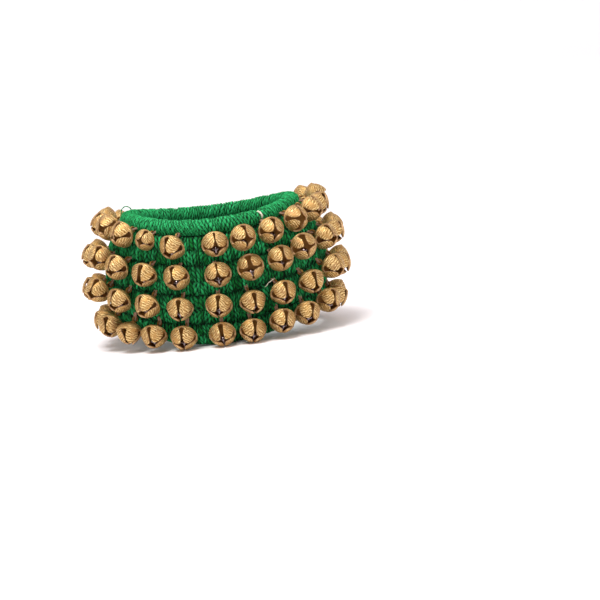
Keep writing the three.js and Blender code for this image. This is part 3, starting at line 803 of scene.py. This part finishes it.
shapeRng = random.Random(bell["seed"])
bellShells = [bellShell(casting, shapeRng) for casting in bell["castings"]]
bellLug = bellEye()
print("bell shapes made:", [len(shell.polygons) for shell in bellShells])


def axisFrame(middle, up, along):  # Z along the bell's axis, X as near to the row as it can be
    side = up.cross(along).normalized()
    matrix = Matrix((side.cross(up), side, up)).transposed().to_4x4()
    matrix.translation = middle
    return matrix


def eyeFrame(distance, row):  # at the eye, the bell along -Z, as the solids hang
    point, normal, downward = padFrame(angleAt(distance), tieLevel(row))
    droop = radians(bell["droop"] + bell["rowDroop"] * row)
    domeReach = hypot(bell["domeHeight"] * cos(droop), bell["radius"] * sin(droop))
    level = twineLevel + twine["radius"] + pad["seat"] + domeReach - eyeReach * cos(droop)
    up = -(normal * cos(droop) + downward * sin(droop))
    return axisFrame(point + normal * level, up, normal.cross(downward))


def towards(start, wanted, limit):  # the wanted direction, or as near to it as the limit lets it turn
    angle, most = start.angle(wanted), radians(limit)
    return wanted if angle < most else start.slerp(wanted, most / angle)


def looseBell(eye, rng):  # eye and shell of a bell on the unseen side, each a little off
    lean = [rng.uniform(-1, 1) * radians(bell["looseness"]) for _ in range(3)]
    eye = eye @ Matrix.Rotation(lean[0], 4, "X") @ Matrix.Rotation(lean[1], 4, "Y")
    turn = 2 * lean[2] + rng.randrange(2) * pi / 2
    return eye, eye @ Matrix.Translation((0, 0, -eyeReach)) @ Matrix.Rotation(turn, 4, "Z")


def seenBell(eye, middlePx, polePx, slotPx, casting, size=1):  # eye and shell of a bell on the seen side
    along, hanging, hook = eye.col[0].xyz, -eye.col[2].xyz, eye.translation
    reach = eyeReach * size
    spot = onSphere(hook, reach, middlePx, hook + hanging * reach)
    hanging = towards(hanging, (spot - hook).normalized(), bell["hangLimit"])
    middle = hook + hanging * reach
    pole = onSphere(middle, bell["petalDepth"], polePx, cameraSpot)
    facing = towards(hanging, (pole - middle).normalized(), bell["faceLimit"])
    shell = axisFrame(middle, -facing, along)
    slot = shell.inverted() @ onSphere(middle, bell["radius"], slotPx, cameraSpot)
    turn = atan2(slot.y, slot.x) - (pi / 2 if casting < 0 else 0)
    return axisFrame(hook, -hanging, along), shell @ Matrix.Rotation(turn, 4, "Z") @ Matrix.Scale(size, 4)


def addBell(bm, eye, shell, mesh, tone):
    layer = bm.verts.layers.float.get("bellTone") or bm.verts.layers.float.new("bellTone")
    for part, matrix in ((mesh, shell), (bellLug, eye @ Matrix.Translation((0, 0, -eyeReach)))):
        known = set(bm.verts)
        bm.from_mesh(part)
        made = [vert for vert in bm.verts if vert not in known]
        bmesh.ops.transform(bm, verts=made, matrix=matrix)
        for vert in made:
            vert[layer] = tone


def addPellet(bm, shell):  # at the lowest place inside the bell
    bm.loops.layers.uv.verify()
    low = shell.to_3x3().inverted() @ Vector((0, 0, -1))
    margin = bell["wall"] + bell["pelletRadius"] + bell["pelletRoom"]
    wide, tall = bell["radius"] - margin, bell["petalDepth"] - margin
    reach = 1 / sqrt((low.x / wide) ** 2 + (low.y / wide) ** 2 + (low.z / tall) ** 2)
    ball = bmesh.ops.create_icosphere(bm, subdivisions=3, radius=bell["pelletRadius"])
    bmesh.ops.translate(bm, verts=ball["verts"], vec=shell @ (low * reach))
    smoothFaces(face for vert in ball["verts"] for face in vert.link_faces)


# Twine of two plies: down inside the padding, and out through the eye of each bell
twine = {
    "radius": 0.7, "endRadius": 0.3, "sides": 10, "stepMm": 0.5, "plyMm": 2.4, "plyDepth": 0.28,
    "slack": 0.4, "halfWidth": 0.6, "eyeShare": 0.6, "leads": (1.6, 1.6, 2.2, 3.6), "diveMm": 2,
    "sunkMm": -3.4, "rollSunkMm": 1.9, "rollTurns": (75, 50, 20, -8),
    "rollTie": ((75, 2), (58, 0.4), (40, -0.1), (15, 0), (-10, 0.8), (-30, 2.5)),  # degrees and depth
    "tieShiftMm": 0.8, "tieLean": 40,
    "looseEnd": (  # distance along the band, down it and out of it
        (28.8, 47.8, -0.6), (29.4, 47, 0.9), (30.5, 45.7, 1.3), (32, 45.2, 1), (33.6, 44.4, 1.4),
        (35.3, 44.6, 0.9),
    ),
}
twineLevel = pad["seat"] + twine["slack"] + twine["radius"]


def smoothPath(points):  # a curve through the points, cut into even steps
    path = []
    for i in range(len(points) - 1):
        p0, p1 = points[max(i - 1, 0)], points[i]
        p2, p3 = points[i + 1], points[min(i + 2, len(points) - 1)]
        count = max(2, round((p2 - p1).length / twine["stepMm"]))
        for k in range(count):
            t = k / count
            path.append(0.5 * (2 * p1 + (p2 - p0) * t + (2 * p0 - 5 * p1 + 4 * p2 - p3) * t ** 2
                               + (3 * p1 - p0 - 3 * p2 + p3) * t ** 3))
    return path + [points[-1]]


def addTwine(bm, points, outward, radius, clean):
    path = smoothPath(points)
    count = len(path) - 1
    runs = [0.0]
    for before, here in zip(path, path[1:]):
        runs.append(runs[-1] + (here - before).length)
    frames = []
    for i in range(count + 1):
        ahead = (path[min(i + 1, count)] - path[max(i - 1, 0)]).normalized()
        across = ahead.cross(outward).normalized()
        frames.append((across, across.cross(ahead)))

    def place(i, j):
        turn = 2 * pi * (j % twine["sides"]) / twine["sides"]
        ply = abs(cos(turn - pi * runs[i] / twine["plyMm"]))
        reach = radius * (1 - twine["plyDepth"] + twine["plyDepth"] * ply)
        across, up = frames[i]
        spot = path[i] + across * reach * cos(turn) + up * reach * sin(turn)
        # the ply's profile also sets the painted shade between the plies
        return spot, (runs[i], turn), {"strandTone": clean, "paintedShadeDepth": ply}

    bentGrid(bm, count, twine["sides"], place)


def aroundRoll(distance, degrees, sunk):  # a place on the roll, counted from its outermost line up
    radius = rollRadius - sunk
    turn = radians(degrees)
    point, normal, downward = padFrame(angleAt(distance), pad["rollHeight"] / 2)
    point += normal * (rollOut + radius * cos(turn))
    return point - downward * radius * sin(turn)


def rollTie(distance):  # the clean end of a twine, over the front of the roll
    start = distance + twine["tieShiftMm"]
    return [aroundRoll(start - turn / twine["tieLean"], turn, sunk) for turn, sunk in twine["rollTie"]]


def twineRoute(distance):  # inside the padding, and out of it only where it takes a bell
    start = distance - twine["halfWidth"]
    points = [aroundRoll(start, degrees, twine["rollSunkMm"]) for degrees in twine["rollTurns"]]
    for row in range(pad["rows"]):
        matrix = eyeFrame(distance, row)
        lead = twine["leads"][row]
        for side in (-twine["halfWidth"], twine["halfWidth"]):
            leg = [
                onPad(distance + side, tieLevel(row) - lead - twine["diveMm"], twine["sunkMm"]),
                onPad(distance + side, tieLevel(row) - lead, 0),
                matrix @ Vector((side * twine["eyeShare"], 0, 0)),
            ]
            points += leg if side < 0 else leg[::-1]
        points.append(onPad(distance, tieLevel(row) + lead, twine["sunkMm"]))
    return points


# A strand of the yarn that stands up as a loop on the roll
pulled = bmesh.new()
pulledPoints = [aroundRoll(*spot) for spot in yarn["pulledLoop"]]
addTwine(pulled, pulledPoints, padFrame(angleAt(0), 0)[1], yarn["pulledRadius"], yarn["pulledTone"])
finishPiece(pulled, "yarn_pulled_strand", "band", [yarnMaterial])

# Where the photo shows the middle of each bell, the crossing of its slots and the far end of one, in pixels,
# then its casting, positive where that slot is the first arm and negative where it is the second, and its
# size if it is smaller. Columns 05 and 15 are hidden there, so their bells lean behind their neighbours.
seen = {
    "05": [
        ((116, 227), (106, 226), (124, 220), -1), ((101.5, 256.5), (92, 258), (105, 254), -1),
        ((97, 288), (88, 292), (104, 290), -1), ((110, 322), (100, 328), (112, 316), -1),
    ],
    "06": [
        ((108.2, 227.5), (100, 230), (117, 222.5), -1), ((101.5, 256.5), (93, 262.5), (105, 262.5), -1),
        ((97, 288), (91, 295.5), (106, 295.5), -1), ((110, 326), (107, 335.5), (118, 330.5), -1),
    ],
    "07": [
        ((122.5, 234.5), (112.5, 238.5), (129.5, 235), -1), ((117, 267.5), (108, 273), (123.5, 270), -1),
        ((119.5, 300.5), (111, 308.5), (125.5, 304), -1), ((128.5, 335), (128.5, 345), (139.5, 336.5), -1),
    ],
    "08": [
        ((143.5, 241.5), (137, 243), (143, 232), 1, 0.8), ((144.5, 276), (139, 283.5), (141, 263.5), 4),
        ((147, 307), (141, 314.5), (140, 295), 2), ((154.5, 336.5), (152, 345.5), (148, 330.5), 2),
    ],
    "09": [
        ((171.5, 248.5), (166, 256), (167, 236), 1), ((176.5, 277.5), (173, 283.5), (171.5, 265.5), 1),
        ((181, 310), (179, 319), (178, 301), 2), ((184, 337), (182.5, 346), (181, 328), 2),
    ],
    "10": [
        ((215, 244), (216.5, 250), (213.5, 231.5), 0), ((218, 274.5), (219, 280.5), (215.5, 263), 0),
        ((219, 305), (218, 314), (218, 294.5), 2), ((222.5, 333.5), (223.5, 342), (220, 324.5), 4),
    ],
    "11": [
        ((243, 237.5), (248, 240), (242, 224), 1), ((250.5, 267), (251.5, 269), (246.5, 253), 3),
        ((253.5, 302.5), (256.5, 311.5), (253.5, 292), 2), ((253, 329.5), (255, 338.5), (255, 320.5), 2),
    ],
    "12": [
        ((271, 230), (276, 233.5), (272.5, 217.5), 1), ((280.5, 258), (285, 262), (280, 245), 2),
        ((283, 291.5), (288, 300), (284.5, 280.5), 2), ((282.5, 320), (285.5, 328), (286.5, 310.5), 2),
    ],
    "13": [
        ((295.5, 219.5), (302, 217), (284, 218.5), -3), ((303.5, 246), (308, 248), (301, 234), 3),
        ((312.5, 281.5), (317, 290), (313, 270.5), 2), ((307, 312), (311, 321), (313.5, 306), 1),
    ],
    "14": [
        ((314.5, 212.5), (321.5, 210.5), (305.5, 211), -1), ((325, 236.5), (331.5, 238), (326.5, 224.5), 1),
        ((332.5, 265), (336.5, 271), (324, 269), -1), ((327, 299), (334, 307), (334.5, 290.5), 1),
    ],
    "15": [
        ((314.5, 214), (325, 212), (312, 206), 1), ((325, 238), (336, 238), (324, 228), 1),
        ((332.5, 267), (343, 270), (332, 258), 1), ((327, 301), (337, 306), (330, 292), 1),
    ],
}

rng = random.Random(bell["seed"])
for column, distance in enumerate(columnRuns, 1):
    label = f"{column:02d}"
    loose = f"bell_{label}_1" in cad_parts
    outward = padFrame(angleAt(distance), pad["height"] / 2)[1]
    threads = [(twineRoute(distance), twine["radius"], 0)]
    if column == yarn["tightColumn"]:  # the clean tie over the roll, and an end of thread left long
        threads.append((rollTie(distance), twine["radius"], 1))
        threads.append(([onPad(*spot) for spot in twine["looseEnd"]], twine["endRadius"], 1))
    bm = bmesh.new()
    for route, radius, clean in threads:
        addTwine(bm, route, outward, radius, clean)
    replaced = [f"twine_{label}"] if loose else []
    finishPiece(bm, f"twine_{label}_cotton", "band", [twineMaterial], replaced)
    strung, shot = bmesh.new(), bmesh.new()
    for row in range(pad["rows"]):
        key = f"{label}_{row + 1}"
        eye = eyeFrame(distance, row)
        shown = seen[label][row] if label in seen else None
        eye, shell = seenBell(eye, *shown) if shown else looseBell(eye, rng)
        casting = abs(shown[3]) if shown else rng.randrange(len(bellShells))
        addBell(strung, eye, shell, bellShells[casting], rng.random())
        addPellet(shot, shell)
        if loose:
            body, ball = f"bell_{key}", f"pellet_{key}"
            finishPiece(strung, f"{body}_cast", body, brassMaterials, [body], None)
            finishPiece(shot, f"{ball}_shot", ball, [steelMaterial], [ball])
            strung, shot = bmesh.new(), bmesh.new()
    if loose:
        strung.free()
        shot.free()
    else:
        node = f"bell_string_{label}"
        finishPiece(strung, f"bells_{label}_cast", "band", brassMaterials, [node], None)
        finishPiece(shot, f"pellets_{label}_shot", "band", [steelMaterial])
print("bells strung")


# Closure on the far side: webbing strap over the ends of the band, hook tape under it, loop tape on the pad
closure = {
    "height": 34, "strap": 1.5, "tape": 0.9, "margin": 3, "bellClearance": 2.5,
    "steps": 90, "rows": 24, "rimMm": 0.8, "rimLeast": 0.15,
}
strapHalf = pad["closureSpacing"] / 2 - bell["radius"] - closure["bellClearance"]
strapRoot, strapTip = closureMiddle - strapHalf, closureMiddle + strapHalf
hookLevel = 2 * pad["seat"] + closure["tape"]
strapLevel = hookLevel + closure["tape"] + pad["seat"]


def strip(name, body, material, node, span, downs, level, thickness, lift=lambda run: 0):
    columns, half = closure["steps"], closure["rows"]
    bulge = [(k / half, 1) for k in range(half + 1)] + [(1 - k / half, -1) for k in range(half + 1)]

    def place(i, j):
        share, side = bulge[j % len(bulge)]
        run = mix(*span, i / columns)
        down = mix(*downs, share)
        rim = min(share, 1 - share) * (downs[1] - downs[0])
        thick = thickness / 2 * sqrt(min(1, (rim + closure["rimLeast"]) / closure["rimMm"]))
        out = level + thickness / 2 + side * thick + lift(run)
        return onPad(run, down, out), (run, down), {}

    bm = bmesh.new()
    bentGrid(bm, columns, len(bulge), place)
    finishPiece(bm, name, body, [material], [node])


def strapRise(run):
    share = min(1, max(0, (run - strapRoot) / (closureMiddle - strapRoot)))
    return share * share * (3 - 2 * share) * (strapLevel - pad["seat"])


strapDowns = (pad["height"] / 2 - closure["height"] / 2, pad["height"] / 2 + closure["height"] / 2)
tapeDowns = (strapDowns[0] + closure["margin"], strapDowns[1] - closure["margin"])
tapeSpan = (closureMiddle + pad["endGap"], strapTip - closure["margin"])
strip("strap_webbing", "strap", webbingMaterial, "closure_strap", (strapRoot, strapTip),
      strapDowns, pad["seat"], closure["strap"], strapRise)
strip("hook_tape_nylon", "strap", hookMaterial, "hook_tape", tapeSpan, tapeDowns,
      hookLevel, closure["tape"])
strip("loop_tape_nylon", "band", loopMaterial, "loop_tape", tapeSpan, tapeDowns,
      pad["seat"], closure["tape"])


# Lock stitches: the hook tape sewn to the strap all round, and the strap to the pad by a box with a cross
stitch = {"pitch": 3, "length": 2.3, "width": 0.55, "height": 0.3, "inset": 1.6, "boxMm": 11}


def addStitch(bm, start, end, level):  # one stitch on the strap, from one place along and down it to another
    middle = [mix(a, b, 0.5) for a, b in zip(start, end)]
    place = onPad(*middle, level)
    along = (onPad(*end, level) - onPad(*start, level)).normalized()
    matrix = axisFrame(place, padFrame(angleAt(middle[0]), middle[1])[1], along)
    made = bmesh.ops.create_uvsphere(bm, u_segments=6, v_segments=5, radius=0.5)["verts"]
    size = Matrix.Diagonal((stitch["length"], stitch["width"], stitch["height"], 1))
    bmesh.ops.transform(bm, verts=made, matrix=matrix @ size)
    smoothFaces(face for vert in made for face in vert.link_faces)


def sewLine(bm, start, end):
    length = hypot(end[0] - start[0], end[1] - start[1])
    count = max(1, round(length / stitch["pitch"]))
    for k in range(count):
        first, last = [[mix(*pair, (k + ahead) / count) for pair in zip(start, end)] for ahead in (0, 1)]
        level = pad["seat"] + closure["strap"] + strapRise((first[0] + last[0]) / 2)
        addStitch(bm, first, last, level)


def sewBox(bm, runs, downs):
    corners = [(runs[0], downs[0]), (runs[1], downs[0]), (runs[1], downs[1]), (runs[0], downs[1])]
    for start, end in zip(corners, corners[1:] + corners[:1]):
        sewLine(bm, start, end)
    return corners


sewing = bmesh.new()
sewing.loops.layers.uv.verify()
inset = stitch["inset"]
sewBox(sewing, (tapeSpan[0] + inset, tapeSpan[1] - inset), (tapeDowns[0] + inset, tapeDowns[1] - inset))
boxRuns = (strapRoot + inset, strapRoot + inset + stitch["boxMm"])
box = sewBox(sewing, boxRuns, (strapDowns[0] + inset, strapDowns[1] - inset))
sewLine(sewing, box[0], box[2])
sewLine(sewing, box[1], box[3])
finishPiece(sewing, "strap_stitching", "strap", [threadMaterial], (), None)
print("closure made")


# Studio: a pale floor that curves up behind, a large soft lamp above and a weak one from the right
studio = {
    "floor": "#fbf8f9", "size": 4, "width": 1.5, "clearance": 0.0003,
    "profile": ((-0.6, 0), (0.25, 0), (0.35, 0.06), (0.4, 0.3), (0.425, 3)),  # share of the size, height
    "lamps": (("key_softbox", 0.8, 20, (-0.3, -0.45, 1.4)), ("fill_softbox", 1.2, 4, (1.1, -0.9, 0.8))),
    "sky": "#fdf8fa", "skyStrength": 0.8,
}


def sweepFloor():
    bm = bmesh.new()
    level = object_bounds()[0].z - studio["clearance"]
    size = studio["size"]
    side = -size * studio["width"] / 2
    verts = [bm.verts.new((side, share * size, level + height)) for share, height in studio["profile"]]
    edges = [bm.edges.new(pair) for pair in zip(verts, verts[1:])]
    wide = bmesh.ops.extrude_edge_only(bm, edges=edges)["geom"]
    far = [part for part in wide if isinstance(part, bmesh.types.BMVert)]
    bmesh.ops.translate(bm, verts=far, vec=(-2 * side, 0, 0))
    smoothFaces(bm.faces)
    bmesh.ops.recalc_face_normals(bm, faces=bm.faces[:])
    paint = newMaterial("painted_sweep", plainColour, studio["floor"], 0.9)
    floor = addObject("floor", toMesh(bm, "floor", [paint]))


def addLamp(name, size, power, place):  # aimed at the middle of the band
    lamp = bpy.data.lights.new(name, "AREA")
    lamp.shape = "DISK"
    lamp.size = size
    lamp.energy = power
    holder = addObject(name, lamp)
    holder.location = place
    holder.rotation_euler = (-Vector(place)).to_track_quat("-Z", "Y").to_euler()


sweepFloor()
for lamp in studio["lamps"]:
    addLamp(*lamp)
world = bpy.data.worlds.new("studio")
scene.world = world
world.use_nodes = True
sky = world.node_tree.nodes["Background"]
sky.inputs[0].default_value = linear(studio["sky"])
sky.inputs[1].default_value = studio["skyStrength"]

scene.view_settings.view_transform = "Standard"
